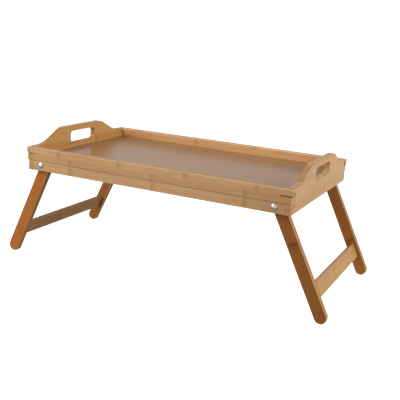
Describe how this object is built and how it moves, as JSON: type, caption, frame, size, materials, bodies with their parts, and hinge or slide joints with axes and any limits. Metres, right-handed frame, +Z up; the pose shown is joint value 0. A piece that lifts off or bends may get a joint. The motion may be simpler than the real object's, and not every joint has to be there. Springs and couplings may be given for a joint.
{
  "type": "folding tray table",
  "caption": "Shallow rectangular bamboo bed tray with a raised handle panel at each end, on splayed leg frames that hinge at the corners and fold flat under it.",
  "frame": {"origin": "on the floor under the middle of the tray, with the legs open", "axes": "+X along the tray from the left leg frame to the right one, +Y from front to back, +Z up"},
  "size_m": [0.6374, 0.2984, 0.2351],
  "materials": {
    "frame_bamboo": "satin clear-lacquered light bamboo, long strips with knuckle marks",
    "leg_bamboo": "satin lacquered bamboo, warmer and darker than the tray's frame",
    "tray_base": "semi-gloss lacquered thin bamboo panel, greyish brown",
    "bolt_steel": "bright plated steel",
    "spacer_nylon": "plain moulded nylon",
    "dowel_wood": "plain unfinished wood"
  },
  "bodies": {
    "tray": {"base_panel": "tray_base", "side_board_front": "frame_bamboo", "side_board_back": "frame_bamboo", "side_rail_front": "frame_bamboo", "side_rail_back": "frame_bamboo", "end_panel_left": "frame_bamboo", "end_panel_right": "frame_bamboo", "pivot_bolt_left_front": "bolt_steel", "spacer_washer_left_front": "spacer_nylon", "inner_washer_left_front": "bolt_steel", "lock_nut_left_front": "bolt_steel", "pivot_bolt_left_back": "bolt_steel", "spacer_washer_left_back": "spacer_nylon", "inner_washer_left_back": "bolt_steel", "lock_nut_left_back": "bolt_steel", "pivot_bolt_right_front": "bolt_steel", "spacer_washer_right_front": "spacer_nylon", "inner_washer_right_front": "bolt_steel", "lock_nut_right_front": "bolt_steel", "pivot_bolt_right_back": "bolt_steel", "spacer_washer_right_back": "spacer_nylon", "inner_washer_right_back": "bolt_steel", "lock_nut_right_back": "bolt_steel"},
    "left_leg_frame": {"stretcher_left": "leg_bamboo", "leg_left_front": "leg_bamboo", "leg_left_back": "leg_bamboo", "dowel_left_front_upper": "dowel_wood", "dowel_left_front_lower": "dowel_wood", "dowel_left_back_upper": "dowel_wood", "dowel_left_back_lower": "dowel_wood"},
    "right_leg_frame": {"stretcher_right": "leg_bamboo", "leg_right_front": "leg_bamboo", "leg_right_back": "leg_bamboo", "dowel_right_front_upper": "dowel_wood", "dowel_right_front_lower": "dowel_wood", "dowel_right_back_upper": "dowel_wood", "dowel_right_back_lower": "dowel_wood"}
  },
  "joints": [
    {"name": "left_legs_fold", "type": "hinge", "parent": "tray", "child": "left_leg_frame", "pos_m": [-0.22145, 0, 0.18068], "axis": [0, -1, 0], "range_deg": [0, 117]},
    {"name": "right_legs_fold", "type": "hinge", "parent": "tray", "child": "right_leg_frame", "pos_m": [0.22145, 0, 0.18068], "axis": [0, 1, 0], "range_deg": [0, 117]}
  ]
}
